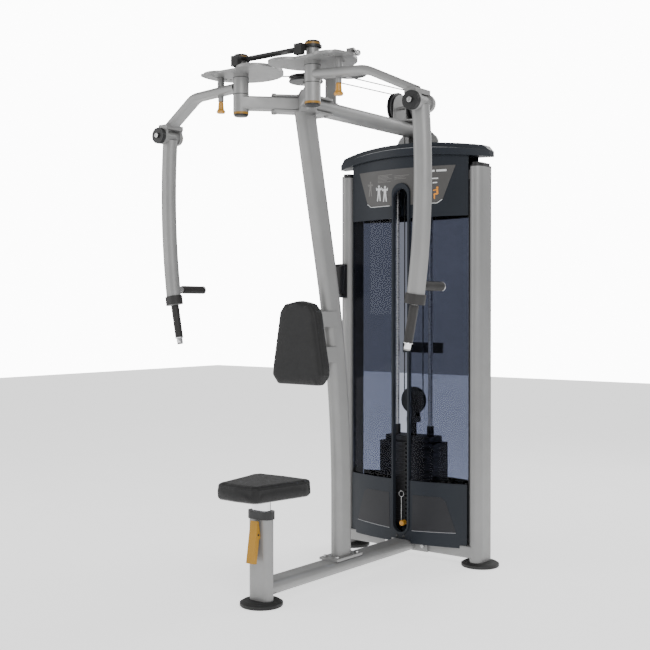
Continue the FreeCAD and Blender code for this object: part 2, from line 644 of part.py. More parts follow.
def make_upper_arm(side, sign):
    start = Vector(sign * (size("pivot_x") + 20), -size("pivot_y"), size("arm_start_z"))
    bend = Vector(sign * size("bend_x"), -size("bend_y"), size("bend_z"))
    end = Vector(sign * size("arm_end_x"), -size("knuckle_y") - 3, size("arm_end_z"))
    tube_run = bent_tube("arm", rounded_path([start, bend, end], [size("bend_radius")]),
                         "arm_depth", "arm_height", Vector(0, 1, 0))
    pivot = (f"{sign} * pivot_x", "-pivot_y")
    sleeve = cylinder("pivot_radius", "sleeve_top - housing_top - 2 * moving_gap", *pivot,
                      "housing_top + moving_gap")
    pin = (f"{sign} * (pivot_x + pin_circle)", "-pivot_y + 8")
    lower_guide = cylinder(11, 29.6, *pin, "cam_base - 90.6")
    upper_guide = cylinder(13.5, 46, *pin, "cam_base - 46.6")
    saddle = block(48, 92, 18, f"{sign} * (knuckle_x - 12)", "-knuckle_y - 6", "knuckle_z + 27")
    cheeks = []
    for y in ("-knuckle_y - 52", "-knuckle_y + 28"):
        cheeks.append(cylinder("knuckle_radius", 12, f"{sign} * knuckle_x", y, "knuckle_z", "Y"))
        cheeks.append(block(44, 12, 40, f"{sign} * (knuckle_x - 10)", f"{y} + 6", "knuckle_z"))
    bores = [cylinder("shaft_radius + running_gap", 300, *pivot, 1800),
             cylinder("6 + running_gap", 200, *pin, 1860),
             cylinder(10.15, 300, f"{sign} * knuckle_x", "-knuckle_y - 150", "knuckle_z", "Y"),
             cylinder("barrel_radius + 2", 68, f"{sign} * knuckle_x", "-knuckle_y - 40",
                      "knuckle_z", "Y")]
    finish(cut(fuse([tube_run, sleeve, lower_guide, upper_guide, saddle] + cheeks), bores),
           "upper_arm_" + side)
    line_x = f"{sign} * knuckle_x"
    bolt = fuse([cylinder("knuckle_radius", 18, line_x, "-knuckle_y - 70", "knuckle_z", "Y"),
                 cylinder(10, 112, line_x, "-knuckle_y - 70", "knuckle_z", "Y"),
                 cylinder(29, 8, line_x, "-knuckle_y + 40", "knuckle_z", "Y"),
                 hex_head(11, 6, line_x, "-knuckle_y - 70", "knuckle_z", TURNS["-Y"])])
    finish(bolt, "knuckle_bolt_" + side)
    knob = [(0, 0), (14, 0), (17, 4), (17, 9), (12, 16), (10, 41), (8, 45), (6, 45),
            (6, 135), (0, 135)]
    finish(turned("pin", knob, *pin, 1850), "pop_pin_" + side)


def make_lower_arms():
    """The right arm and its grips, and the left ones as their mirror images."""
    y = -size("knuckle_y")
    top = Vector(size("knuckle_x") - 2, y, size("knuckle_z") - 12)
    end = Vector(size("swing_end_x"), y, size("swing_end_z"))
    bow = (top + end) / 2 + Vector(19, 0, 0)
    path = solid("arm_path", Part.Wire([Part.Arc(top, bow, end).toShape()]))
    deep = Vector(1, 0, 0)
    outer = swept_oval(path, "swing_width", "swing_depth", deep)
    inner = swept_oval(path, "swing_width - 2 * tube_wall", "swing_depth - 2 * tube_wall", deep)
    barrel = cylinder("barrel_radius", 67, "knuckle_x", "-knuckle_y - 39.5", "knuckle_z", "Y")
    bore = cylinder("10 + running_gap", 120, "knuckle_x", "-knuckle_y - 60", "knuckle_z", "Y")
    plug = oval_bar("plug", "swing_width - tube_wall", "swing_depth - tube_wall", 86,
                    "swing_end_x + 10.8", "-knuckle_y", "swing_end_z + 80",
                    Rotation(Vector(0, 1, 0), 180 + 8), None)
    grip_turn = Rotation(Vector(0, 1, 0), 180 + 11)
    core_start = Vector(size("swing_end_x") + 4, y, size("swing_end_z") + 22)
    core = place(cylinder(12, 190), *core_start, grip_turn)
    rear_core = cylinder(12, 179, "swing_end_x + 3", "-knuckle_y - 5", "swing_end_z + 58", "Y")
    arm = cut(fuse([cut(outer, [inner]), plug, barrel, core, rear_core]), [bore])
    collar = oval_bar("collar", "swing_width + 10", "swing_depth + 10", 35, "swing_end_x + 5",
                      "-knuckle_y", "swing_end_z + 30", Rotation(Vector(0, 1, 0), 180 + 9), "3.4")
    sleeve_start = core_start + grip_turn.multVec(Vector(0, 0, 31))
    sleeves = [place(cylinder(radius, 131), *sleeve_start, grip_turn) for radius in (16, 12.15)]
    rear_grip = tube(16, 12.15, 122, "swing_end_x + 3", "-knuckle_y + 46", "swing_end_z + 58", "Y")
    grips = group([collar, cut(sleeves[0], [sleeves[1]]), rear_grip])
    for name, shape in (("lower_arm_", arm), ("grips_", grips)):
        finish(mirrored(shape), name + "left")
        finish(group([shape]), name + "right")


# ---------------------------------------------------------------- seat and back
def make_seat():
    collar = oval_bar("collar", "seat_post_width + 10", "seat_post_depth + 10", "collar_height",
                      0, "-seat_post_y", "seat_post_top", wall=None)
    well = oval_bar("well", "seat_tube_width + 0.6", "seat_tube_depth + 0.6", 200, 0,
                    "-seat_post_y", 250, wall=None)
    collar = cut(collar, [well])
    tube_run = oval_bar("seat_tube", "seat_tube_width", "seat_tube_depth", 250, 0,
                        "-seat_post_y", "pad_top - pad_thickness - 12 - 250")
    seat_plate = block(120, 180, 12, 0, "-seat_post_y", "pad_top - pad_thickness - 12")
    finish(fuse([tube_run, seat_plate]), "seat_carriage")
    owner = body("seat_pad", 0, "-seat_post_y", "pad_top - pad_thickness")
    drawing = sketch(owner)
    outline(drawing, [(-82, -146), (0, -152), (82, -146), (100, -132), (140, 100), (124, 143),
                      (0, 149), (-124, 143), (-140, 100), (-100, -132)])
    feature = pad(owner, drawing, "pad_thickness")
    doc.recompute()
    rounding = owner.newObject("PartDesign::Fillet", "rounding")
    rims = [f"Edge{n}" for n, edge in enumerate(feature.Shape.Edges, start=1)
            if abs(edge.tangentAt(edge.FirstParameter).z) < 0.1]
    rounding.Base = (feature, rims)
    rounding.Radius = 9
    finish(owner, "seat_pad")
    face_y = -size("seat_post_y") - size("seat_post_depth") / 2
    pin_y, pin_z, swing = face_y - 12, 267, math.radians(10)
    channel = cut(block(34, 26, 154, 0, 0, 0), [block(28, 30, 170, 0, 5, -5)])
    lever = cut(channel, [block(60, 40, 120, 0, 27, -30)])
    place(lever, 0, face_y - 28, 163, Rotation(Vector(1, 0, 0), -9))
    post_side = block(100, 60, 200, 0, face_y + 29, pin_z - 100)
    swung_side = block(100, 60, 200)
    place(swung_side, -50, pin_y + 11 * math.cos(swing) + 100 * math.sin(swing),
          pin_z + 11 * math.sin(swing) - 100 * math.cos(swing),
          Rotation(Vector(1, 0, 0), math.degrees(swing)))
    pin_bore = cylinder("3.5 + running_gap", 60, -30, pin_y, pin_z, "X")
    finish(cut(lever, [post_side, swung_side, pin_bore]), "seat_lever")
    lug = [block(5, 17, 16, 9 * sign, face_y - 8.5, pin_z - 8) for sign in SIDES.values()]
    pin = cylinder(3.5, 40, -20, pin_y, pin_z, "X")
    finish(group([collar, fuse(lug + [pin])]), "seat_collar")


def make_back_pad(post_room):
    owner = body("back_pad", 0, -772, 0)
    drawing = sketch(owner, "XZ_Plane")
    outline(drawing, [(-100, 797), (100, 797), (128, 832), (126, 870), (90, 1082), (66, 1112),
                      (0, 1125), (-66, 1112), (-90, 1082), (-126, 870), (-128, 832)])
    feature = pad(owner, drawing, 53)
    doc.recompute()
    rounding = owner.newObject("PartDesign::Fillet", "rounding")
    rims = [f"Edge{n}" for n, edge in enumerate(feature.Shape.Edges, start=1)
            if abs(edge.tangentAt(edge.FirstParameter).y) < 0.1]
    rounding.Base = (feature, rims)
    rounding.Radius = 9
    finish(owner, "back_pad")
    plate = block(150, 6, 240, 0, -769, 850)
    arms = [block(60, 170, 60, 0, -685, z) for z in (880, 1020)]
    finish(cut(fuse([plate] + arms), [post_room]), "back_pad_bracket")


# ---------------------------------------------------------------- weight tower
def curved_sheet(name, side_y, crown_y, wall, base, height, half_width="shell_half_width"):
    """An upright sheet bowed in plan; negative y bows it to the front."""
    owner = body(name, 0, 0, base)
    drawing = sketch(owner)
    way = -1 if crown_y < 0 else 1
    half = size(half_width)
    arcs = []
    for inset in (0, wall):
        side, crown = side_y - way * inset, crown_y - way * inset
        arcs.append(Part.Arc(Vector(-half, side, 0), Vector(0, crown, 0), Vector(half, side, 0)))
    drawing.addGeometry([
        arcs[0], Part.LineSegment(arcs[0].EndPoint, arcs[1].EndPoint),
        arcs[1], Part.LineSegment(arcs[0].StartPoint, arcs[1].StartPoint)], False)
    for joint in ((0, 2, 1, 1), (2, 2, 1, 2), (0, 1, 3, 1), (2, 1, 3, 2)):
        drawing.addConstraint(Sketcher.Constraint("Coincident", *joint))
    pad(owner, drawing, height)
    return owner


def slot_tool(extra=0, lift=0):
    """The long slot in the tower's front, round at both ends and wider all round by extra."""
    low, high = "slot_base + slot_half_width", f"slot_top - slot_half_width + {lift}"
    shaft = block(f"2 * (slot_half_width + {extra})", 120, f"{high} - ({low})", 0, -100, low)
    arches = [cylinder(f"slot_half_width + {extra}", 120, 0, -160, z, "Y") for z in (low, high)]
    return fuse([shaft] + arches)


def outer_slot(extra=0):
    """The slot grown to the outside of its rim and hood."""
    return slot_tool(f"slot_rim + {extra}", "slot_hood")


def lens(half_width, end_y, crown_y):
    """A face on the floor plane between two arcs that bow to the front and the back."""
    right, left = Vector(half_width, -end_y, 0), Vector(-half_width, -end_y, 0)
    back_right, back_left = Vector(half_width, end_y, 0), Vector(-half_width, end_y, 0)
    edges = [Part.Arc(left, Vector(0, -crown_y, 0), right).toShape(),
             Part.LineSegment(right, back_right).toShape(),
             Part.Arc(back_right, Vector(0, crown_y, 0), back_left).toShape(),
             Part.LineSegment(back_left, left).toShape()]
    return Part.Face(Part.Wire(edges))


def arched_slab(half_width, low, low_crown, high, high_crown, plan, slope=0, drop=0):
    """A slab whose underside and top are arcs across X, trimmed to a plan outline.

    The top's arc stops slope short of the ends and falls straight by drop from there.
    """
    y, flat = -200, half_width - slope
    bottom = Part.Arc(Vector(-half_width, y, low), Vector(0, y, low_crown),
                      Vector(half_width, y, low))
    top = Part.Arc(Vector(-flat, y, high), Vector(0, y, high_crown), Vector(flat, y, high))
    edges = [bottom.toShape(), top.toShape()]
    for way in SIDES.values():
        corners = [Vector(way * half_width, y, low), Vector(way * half_width, y, high - drop)]
        if slope:
            corners.append(Vector(way * flat, y, high))
        edges += Part.makePolygon(corners).Edges
    face = Part.Face(Part.Wire(Part.__sortEdges__(edges)))
    return face.extrude(Vector(0, 400, 0)).common(plan.extrude(Vector(0, 0, 2200)))


def make_tower_shells():
    """Front and rear covers, windows, slot guard and the arched cap."""
    side, crown, wall = size("shell_side_y"), size("shell_crown_y"), size("shell_wall")
    over_cap = solid("over_cap", arched_slab(400, 1729, 1751, 2000, 2010, lens(400, 120, 150)))
    base_room = block("2 * column_x", "crossbeam_depth + 1", "beam_height + 1", 0, 0,
                      "beam_base - 0.5")
    beam_room = block("base_beam_width + 2", 100, "beam_height + 1", 0, -110, "beam_base - 0.5")
    upper_height = "upper_shell_top - upper_shell_base"
    lower_height = "lower_shell_top - lower_shell_base"
    front = curved_sheet("shell", -side, -crown, wall, "upper_shell_base", upper_height)
    finish(cut(front, [outer_slot(), over_cap]), "upper_shroud")
    front = curved_sheet("shell", -side - 5, -crown - 5, wall, "lower_shell_base", lower_height)
    finish(cut(front, [outer_slot(), base_room, beam_room]), "lower_shroud")
    rear = [cut(curved_sheet("shell", side, crown, wall, "upper_shell_base", upper_height),
                [over_cap]),
            cut(curved_sheet("shell", side, crown, wall, "lower_shell_base", lower_height),
                [base_room])]
    finish(group(rear), "rear_shrouds")
    panes = []
    for way in (-1, 1):
        pane = curved_sheet("pane", way * (side - 5), way * (crown - 5), 3, "lower_shell_top - 25",
                            "upper_shell_base - lower_shell_top + 50")
        panes.append(cut(pane, [outer_slot()]) if way < 0 else pane)
    finish(group(panes), "windows")
    ahead = block(200, 100, 1800, 0, -160, 0)
    behind = block(200, 100, 1800, 0, -38, 0)
    finish(cut(outer_slot(-0.4), [slot_tool(), ahead, behind]), "slot_guard")
    liners = [block(3, 84, "crossmember_base - 94", f"{sign} * (shell_half_width + 3)", 0, 92)
              for sign in SIDES.values()]
    cable_ways = [cylinder(9, 300, f"{sign} * cable_line", 0, 1600) for sign in SIDES.values()]
    neck_way = block(216, 46, 300, 0, 14, 1600)
    tier = solid("tier", arched_slab(388, 1730, 1752, 1755, 1785, lens(388, 20, 118)))
    crest = solid("crest", arched_slab(386, 1740, 1768, 1779, 1806, lens(386, 18, 106), 24, 23))
    finish(cut(fuse([tier, crest]), cable_ways + [neck_way]), "top_cap")
    brace = block(210, 6, 46, 0, "shell_crown_y - 26", 895)
    finish(group(liners + [brace]), "inner_liners")
    film = curved_sheet("film", -side - 1.6, -crown - 1.6, 1.5, 1541, 160)
    sign_shape = body("sign_shape")
    drawing = sketch(sign_shape, "XZ_Plane")
    outline(drawing, [(-170, 1541), (170, 1541), (195, 1557), (250, 1701), (-250, 1701),
                      (-195, 1557)])
    pad(sign_shape, drawing, 400, True)
    finish(cut(common([film, sign_shape]), [outer_slot(1.5)]), "placard")


def make_stack():
    base = "stack_base"
    height = f"{PLATE_COUNT} * plate_pitch"
    stack = block("stack_width", "stack_depth", f"{height} - plate_slit", 0, 0, base)
    slits = [block(400, 200, "plate_slit", 0, 0, f"{base} + {n} * plate_pitch - plate_slit")
             for n in range(1, PLATE_COUNT)]
    rods = [cylinder("rod_radius + 1.5", 600, f"{sign} * rod_x", 0, 100)
            for sign in SIDES.values()]
    centre = [cylinder("stem_radius + 0.5", 600, 0, 0, 100)]
    pin_holes = [cylinder(5.5, 100, 0, -100, f"{base} + ({n} + 0.5) * plate_pitch - plate_slit / 2",
                          "Y") for n in range(PLATE_COUNT)]
    finish(cut(stack, slits + rods + centre + pin_holes), "weight_plates")
    top = f"{base} + {height}"
    head_plate = block(230, 100, 26, 0, 0, top)
    collars = [cylinder(15.5, 70, f"{sign} * rod_x", 0, top) for sign in SIDES.values()]
    stem = cylinder("stem_radius", 444, 0, 0, base)
    rod_ways = [cylinder("rod_radius + 1.5", 300, f"{sign} * rod_x", 0, 480)
                for sign in SIDES.values()]
    stem_holes = [cylinder(5.5, 100, 0, -100,
                           f"{base} + ({n} + 0.5) * plate_pitch - plate_slit / 2", "Y")
                  for n in range(PLATE_COUNT)]
    finish(cut(fuse([head_plate, stem] + collars), rod_ways + stem_holes), "selector_stem")
    fork_base = block(44, 48, 24, 0, 0, 590)
    cheeks = [block(44, 5, 110, 0, f"{sign} * 18", 606) for sign in SIDES.values()]
    bolt = fuse([cylinder(8, 44, 0, -22, "stack_pulley_z", "Y"),
                 hex_head(14, 7, 0, -20, "stack_pulley_z", TURNS["-Y"]),
                 hex_head(14, 7, 0, 20, "stack_pulley_z", TURNS["Y"])])
    room = cylinder("pulley_radius + 2", 27, 0, -13.5, "stack_pulley_z", "Y")
    fork = cut(fuse([fork_base] + cheeks), [room])
    finish(fuse([fork, bolt]), "stack_pulley_bracket")
    finish(group([cylinder("rod_radius", "crossmember_base + crossmember_height - 88",
                           f"{sign} * rod_x", 0, 88) for sign in SIDES.values()]), "guide_rods")
    bumpers = [tube(21, "rod_radius + running_gap", "stack_base - 88 - 0.4", f"{sign} * rod_x", 0, 88)
               for sign in SIDES.values()]
    finish(group(bumpers + rubber_blocks), "rubber_stops")
    pin_z = f"{base} + plate_pitch / 2 - plate_slit / 2"
    finish(fuse([cylinder(5, 50, 0, -72, pin_z, "Y"), cylinder(10, 30, 0, -98, pin_z, "Y")]),
           "weight_pin")


def make_bottle_holder():
    """A tapered cup with a sloping rim on the front of the left column."""
    x, y, base = -344, -117, 1160
    cup = cone(34, 42, 140, x, y, base)
    hollow = cone(30.5, 38.5, 150, x, y, base + 6)
    slope = block(200, 200, 60)
    place(slope, x - 100, y - 100, base + 102, Rotation(Vector(1, 0, 0), 14))
    back = block(34, 44, 152, x + 4, -82, base - 18)
    column = oval_bar("room", "column_depth", "column_width", 2000, "-column_x", 0, 0,
                      Rotation(Vector(0, 0, 1), 90), None)
    cup_room = cone(34, 42, 140, x, y, base)
    finish(fuse([cut(cup, [hollow, slope]), cut(back, [column, cup_room])]), "bottle_holder")


frame_bolts = []
make_base(frame_bolts)
post_outline = make_main_post()
rubber_blocks = make_head(frame_bolts)
finish(group(frame_bolts), "frame_bolts")
make_top_beam()
make_pulleys()
make_cable_nodes()
for side_name, side_sign in SIDES.items():
    make_cam(side_name, side_sign)
    make_upper_arm(side_name, side_sign)
make_lower_arms()
make_seat()
make_back_pad(post_outline)
make_tower_shells()
make_stack()
make_bottle_holder()
doc.recompute()

# ---------------------------------------------------------------- checks and files
for obj in doc.Objects:
    if "Invalid" in obj.State or "Error" in obj.State:
        raise RuntimeError(f"{obj.Name} failed: {obj.State}")
for obj in NODES:
    if obj.Shape.isNull() or not obj.Shape.isValid() or not obj.Shape.Solids:
        raise RuntimeError(f"{obj.Label} has no valid solid")
    obj.Shape.exportStep(f"parts/{obj.Label}.step")
    box = obj.Shape.BoundBox
    low = [round(v) for v in (box.XMin, box.YMin, box.ZMin)]
    high = [round(v) for v in (box.XMax, box.YMax, box.ZMax)]
    print(obj.Label, len(obj.Shape.Solids), "solids", round(obj.Shape.Volume / 1000), "cm3", low, high)
print(len(NODES), "sub-parts")
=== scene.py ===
"""Looks of the pec deck machine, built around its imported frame. Metres, in the frame's own axes."""
import json
import math

import bmesh
import bpy
from mathutils import Matrix, Vector
from mathutils.bvhtree import BVHTree


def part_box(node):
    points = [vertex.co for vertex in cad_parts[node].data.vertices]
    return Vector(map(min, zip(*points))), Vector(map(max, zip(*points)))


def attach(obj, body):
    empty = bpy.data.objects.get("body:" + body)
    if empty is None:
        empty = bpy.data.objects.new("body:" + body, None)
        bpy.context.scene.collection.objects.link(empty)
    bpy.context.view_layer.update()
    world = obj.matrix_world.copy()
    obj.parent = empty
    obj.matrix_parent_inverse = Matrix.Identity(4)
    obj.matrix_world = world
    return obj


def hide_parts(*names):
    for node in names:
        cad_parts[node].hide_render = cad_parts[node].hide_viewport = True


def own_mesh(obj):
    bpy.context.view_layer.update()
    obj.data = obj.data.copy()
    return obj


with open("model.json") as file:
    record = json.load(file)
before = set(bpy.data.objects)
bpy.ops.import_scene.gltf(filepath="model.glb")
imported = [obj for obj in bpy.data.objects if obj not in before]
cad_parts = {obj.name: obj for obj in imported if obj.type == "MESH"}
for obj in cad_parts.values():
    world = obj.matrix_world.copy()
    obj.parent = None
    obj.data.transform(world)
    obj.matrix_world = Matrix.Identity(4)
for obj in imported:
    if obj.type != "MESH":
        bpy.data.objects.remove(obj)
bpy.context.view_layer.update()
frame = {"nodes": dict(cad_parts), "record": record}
nodes = frame["nodes"]
SIDES = {"left": -1, "right": 1}


# ---------------------------------------------------------------- places taken from the frame
def low(node):
    return Vector(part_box(node)[0])


def high(node):
    return Vector(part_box(node)[1])


def middle(node):
    return (low(node) + high(node)) / 2


JOINTS = {joint["name"]: joint for joint in frame["record"]["behaviour"]["joints"]}


def pivot(name):
    return Vector(JOINTS[name]["pos_m"])


tower_y = middle("column_right").y
shell_half = high("upper_shroud").x
shell_crown = low("upper_shroud").y
shell_side = high("upper_shroud").y - 0.004
shell_sag = shell_side - shell_crown
shell_radius = (shell_half ** 2 + shell_sag ** 2) / (2 * shell_sag)


def front_y(x, proud=0.0):
    """Where the tower's front cover is at a distance x from the middle."""
    return shell_crown + shell_radius - math.sqrt(shell_radius ** 2 - x * x) - proud


# ---------------------------------------------------------------- materials
def new_material(name):
    mat = bpy.data.materials.new(name)
    mat.use_nodes = True
    tree = mat.node_tree
    return mat, tree, tree.nodes["Principled BSDF"]


def noise(tree, scale, detail=3.0, stretch=(1, 1, 1)):
    """A noise pattern in the frame's own coordinates; stretch draws it out along an axis."""
    place = tree.nodes.new("ShaderNodeTexCoord")
    mapping = tree.nodes.new("ShaderNodeMapping")
    mapping.inputs["Scale"].default_value = stretch
    pattern = tree.nodes.new("ShaderNodeTexNoise")
    pattern.inputs["Scale"].default_value = scale
    pattern.inputs["Detail"].default_value = detail
    tree.links.new(place.outputs["Object"], mapping.inputs["Vector"])
    tree.links.new(mapping.outputs["Vector"], pattern.inputs["Vector"])
    return pattern.outputs["Fac"]


def cells(tree, scale, feature="F1"):
    place = tree.nodes.new("ShaderNodeTexCoord")
    pattern = tree.nodes.new("ShaderNodeTexVoronoi")
    pattern.feature = feature
    pattern.inputs["Scale"].default_value = scale
    tree.links.new(place.outputs["Object"], pattern.inputs["Vector"])
    return pattern.outputs["Distance"]


def tint(tree, shader, value, dark, light, spread=(0.3, 0.7)):
    """Base colour that wanders between two close shades."""
    ramp = tree.nodes.new("ShaderNodeValToRGB")
    ramp.color_ramp.elements[0].position = spread[0]
    ramp.color_ramp.elements[0].color = (*dark, 1)
    ramp.color_ramp.elements[1].position = spread[1]
    ramp.color_ramp.elements[1].color = (*light, 1)
    tree.links.new(value, ramp.inputs["Fac"])
    tree.links.new(ramp.outputs["Color"], shader.inputs["Base Color"])


def roughen(tree, shader, value, smooth, rough):
    span = tree.nodes.new("ShaderNodeMapRange")
    span.inputs["From Min"].default_value = 0.3
    span.inputs["From Max"].default_value = 0.7
    span.inputs["To Min"].default_value = smooth
    span.inputs["To Max"].default_value = rough
    tree.links.new(value, span.inputs["Value"])
    tree.links.new(span.outputs["Result"], shader.inputs["Roughness"])


def bump(tree, shader, heights, strength, distance):
    """Surface relief from one or more patterns, chained."""
    last = None
    for value, share in heights:
        node = tree.nodes.new("ShaderNodeBump")
        node.inputs["Strength"].default_value = strength * share
        node.inputs["Distance"].default_value = distance
        tree.links.new(value, node.inputs["Height"])
        if last:
            tree.links.new(last, node.inputs["Normal"])
        last = node.outputs["Normal"]
    tree.links.new(last, shader.inputs["Normal"])


def shade(colour, factor):
    return tuple(c * factor for c in colour)


def paint(name, colour, metallic, smooth, rough, coat=0.0, peel=0.1):
    """Powder coat: faint orange peel, metal flake and slow changes of shade."""
    mat, tree, shader = new_material(name)
    shader.inputs["Metallic"].default_value = metallic
    shader.inputs["Coat Weight"].default_value = coat
    shader.inputs["Coat Roughness"].default_value = 0.25
    tint(tree, shader, noise(tree, 9, 5), shade(colour, 0.94), shade(colour, 1.05))
    roughen(tree, shader, noise(tree, 40, 4), smooth, rough)
    bump(tree, shader, [(noise(tree, 900, 2), 1), (cells(tree, 1500), 0.5)], peel, 0.0004)
    return mat


def moulded(name, colour, smooth, rough, grain=0.15, scale=1400, coat=0.0, gloss=0.5):
    """Moulded plastic or rubber with a fine spark-eroded grain and a slow change of shade."""
    mat, tree, shader = new_material(name)
    shader.inputs["Specular IOR Level"].default_value = gloss
    shader.inputs["Coat Weight"].default_value = coat
    shader.inputs["Coat Roughness"].default_value = 0.2
    tint(tree, shader, noise(tree, 5, 3), shade(colour, 0.94), shade(colour, 1.06))
    roughen(tree, shader, noise(tree, 7, 3), smooth, rough)
    bump(tree, shader, [(cells(tree, scale), 1), (noise(tree, scale / 3, 3), 0.6)], grain, 0.0003)
    return mat


def metal(name, colour, smooth, rough, stretch):
    """Bare metal with fine turning or polishing lines drawn out along one axis."""
    mat, tree, shader = new_material(name)
    shader.inputs["Metallic"].default_value = 1.0
    tint(tree, shader, noise(tree, 30, 4), shade(colour, 0.9), shade(colour, 1.05))
    roughen(tree, shader, noise(tree, 60, 5, stretch), smooth, rough)
    bump(tree, shader, [(noise(tree, 300, 3, stretch), 1)], 0.05, 0.0003)
    return mat


def vinyl(name, colour):
    """Upholstery vinyl: pebbled leather grain with soft creases."""
    mat, tree, shader = new_material(name)
    shader.inputs["Sheen Weight"].default_value = 0.02
    shader.inputs["Sheen Roughness"].default_value = 0.5
    shader.inputs["Specular IOR Level"].default_value = 0.28
    tint(tree, shader, noise(tree, 22, 6), shade(colour, 0.88), shade(colour, 1.12))
    roughen(tree, shader, noise(tree, 120, 5), 0.42, 0.58)
    grain = [(cells(tree, 620, "SMOOTH_F1"), 1), (noise(tree, 240, 5), 0.5), (noise(tree, 35, 3), 0.35)]
    bump(tree, shader, grain, 0.35, 0.0006)
    return mat


def window_tint(name, colour):
    """Smoked clear sheet that darkens what is seen through it."""
    mat, tree, shader = new_material(name)
    shader.inputs["IOR"].default_value = 1.12
    shader.inputs["Transmission Weight"].default_value = 1.0
    tint(tree, shader, noise(tree, 3, 2), shade(colour, 0.97), shade(colour, 1.03))
    roughen(tree, shader, noise(tree, 4, 2), 0.0, 0.015)
    bump(tree, shader, [(noise(tree, 2, 1), 1)], 0.02, 0.0005)
    return mat


SILVER = paint("silver_powder_coat", (0.26, 0.26, 0.258), 0.35, 0.38, 0.48)
OCHRE_PAINT = paint("ochre_paint", (0.38, 0.19, 0.010), 0.1, 0.42, 0.52)
GRAPHITE = moulded("graphite_cover", (0.015, 0.0185, 0.0245), 0.38, 0.44, 0.05, 900, coat=0.02, gloss=0.22)
PANEL = moulded("graphite_panel", (0.021, 0.0215, 0.0245), 0.38, 0.44, 0.08, 900, coat=0.02, gloss=0.22)
BLACK = moulded("black_plastic", (0.010, 0.010, 0.011), 0.38, 0.5)
RUBBER = moulded("black_rubber", (0.011, 0.011, 0.011), 0.55, 0.75, 0.4, 900)
GRIP = moulded("grip_rubber", (0.016, 0.015, 0.0145), 0.5, 0.68, 0.5, 700)
OCHRE = moulded("ochre_knob", (0.46, 0.215, 0.018), 0.3, 0.42, 0.08, 900, coat=0.2)
OCHRE_DULL = moulded("ochre_ring", (0.28, 0.145, 0.018), 0.35, 0.5, 0.08, 900)
IRON = moulded("black_enamel", (0.009, 0.009, 0.010), 0.4, 0.55, 0.25, 500)
CHROME = metal("chrome", (0.78, 0.78, 0.80), 0.06, 0.14, (1, 1, 0.1))
STEEL = metal("turned_steel", (0.55, 0.55, 0.55), 0.24, 0.36, (1, 1, 9))
CABLE = moulded("cable_jacket", (0.010, 0.010, 0.010), 0.35, 0.45, 0.1, 2000)
VINYL = vinyl("charcoal_vinyl", (0.013, 0.013, 0.0135))
PLACARD = moulded("placard_film", (0.062, 0.060, 0.058), 0.4, 0.5, 0.03, 1200)
PALE = moulded("pale_print", (0.62, 0.63, 0.64), 0.35, 0.45, 0.02)
FAINT = moulded("faint_print", (0.13, 0.125, 0.12), 0.35, 0.45, 0.02)
WARM = moulded("warm_print", (0.72, 0.26, 0.02), 0.35, 0.45, 0.02)
# pale colour for thin raised rods: a painted highlight where the embossed cover line and the cap's rim catch the
# light
EDGE_HIGHLIGHT = moulded("painted_edge_highlight", (0.24, 0.245, 0.26), 0.3, 0.4, 0.02)
WINDOW = window_tint("smoked_window", (0.31, 0.33, 0.40))

FINISHES = {
    "silver_paint": SILVER, "graphite_plastic": GRAPHITE, "black_plastic": BLACK, "black_rubber": RUBBER,
    "charcoal_vinyl": VINYL, "bright_chrome": CHROME, "bright_steel": STEEL, "black_iron": IRON,
    "tinted_window": WINDOW, "ochre_plastic": OCHRE, "ochre_paint": OCHRE_PAINT, "black_cable": CABLE,
    "placard_film": PLACARD,
}


def dress(obj, mat):
    """Give a CAD node its finish."""
    if not obj.material_slots:
        obj.data.materials.append(mat)
    for slot in obj.material_slots:
        slot.material = mat


for part in frame["record"]["subparts"]:
    dress(nodes[part["node"]], FINISHES[part["material_slot"]])
for node in ("pivot_rings",):
    dress(nodes[node], OCHRE_DULL)
for side in SIDES:
    dress(nodes[f"grips_{side}"], GRIP)
dress(nodes["pivot_shafts"], SILVER)
dress(nodes["slot_guard"], GRAPHITE)
dress(nodes["selector_stem"], IRON)
dress(nodes["guide_rods"], STEEL)


# ---------------------------------------------------------------- making pieces
def piece(name, mesh, mat, body, smooth=True):
    """A finished piece from a mesh or bmesh, riding on a body."""
    if isinstance(mesh, bmesh.types.BMesh):
        data = bpy.data.meshes.new(name)
        bmesh.ops.recalc_face_normals(mesh, faces=mesh.faces)
        mesh.to_mesh(data)
        mesh.free()
        mesh = data
    obj = bpy.data.objects.new(name, mesh)
    bpy.context.collection.objects.link(obj)
    if not obj.data.materials:
        obj.data.materials.append(mat)
    if smooth:
        for polygon in obj.data.polygons:
            polygon.use_smooth = True
        edge_split = obj.modifiers.new("crisp_edges", "EDGE_SPLIT")
        edge_split.split_angle = math.radians(38)
    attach(obj, body)
    return obj


def ring_frame(points, closed):
    """A steady pair of side directions at each point of a line."""
    count = len(points)
    frames, across = [], None
    for i, point in enumerate(points):
        before = points[i - 1] if i or closed else point
        after = points[(i + 1) % count] if i + 1 < count or closed else point
        ahead = (after - before).normalized()
        if across is None:
            across = ahead.orthogonal().normalized()
        across = (across - ahead * across.dot(ahead)).normalized()
        frames.append((across, ahead.cross(across)))
    return frames


def rod_mesh(points, radius, sides=14, closed=False):
    """A round rod along a line of points; a closed one is a ring."""
    points = [Vector(p) for p in points]
    mesh = bmesh.new()
    rings = []
    for point, (across, up) in zip(points, ring_frame(points, closed)):
        ring = []
        for k in range(sides):
            turn = 2 * math.pi * k / sides
            ring.append(mesh.verts.new(point + (across * math.cos(turn) + up * math.sin(turn)) * radius))
        rings.append(ring)
    spans = len(rings) if closed else len(rings) - 1
    for i in range(spans):
        here, there = rings[i], rings[(i + 1) % len(rings)]
        if closed and i == spans - 1:
            shift = min(range(sides), key=lambda s: (there[s].co - here[0].co).length)
            there = there[shift:] + there[:shift]
        for k in range(sides):
            mesh.faces.new((here[k], here[(k + 1) % sides], there[(k + 1) % sides], there[k]))
    if not closed:
        mesh.faces.new(rings[0][::-1])
        mesh.faces.new(rings[-1])
    return mesh


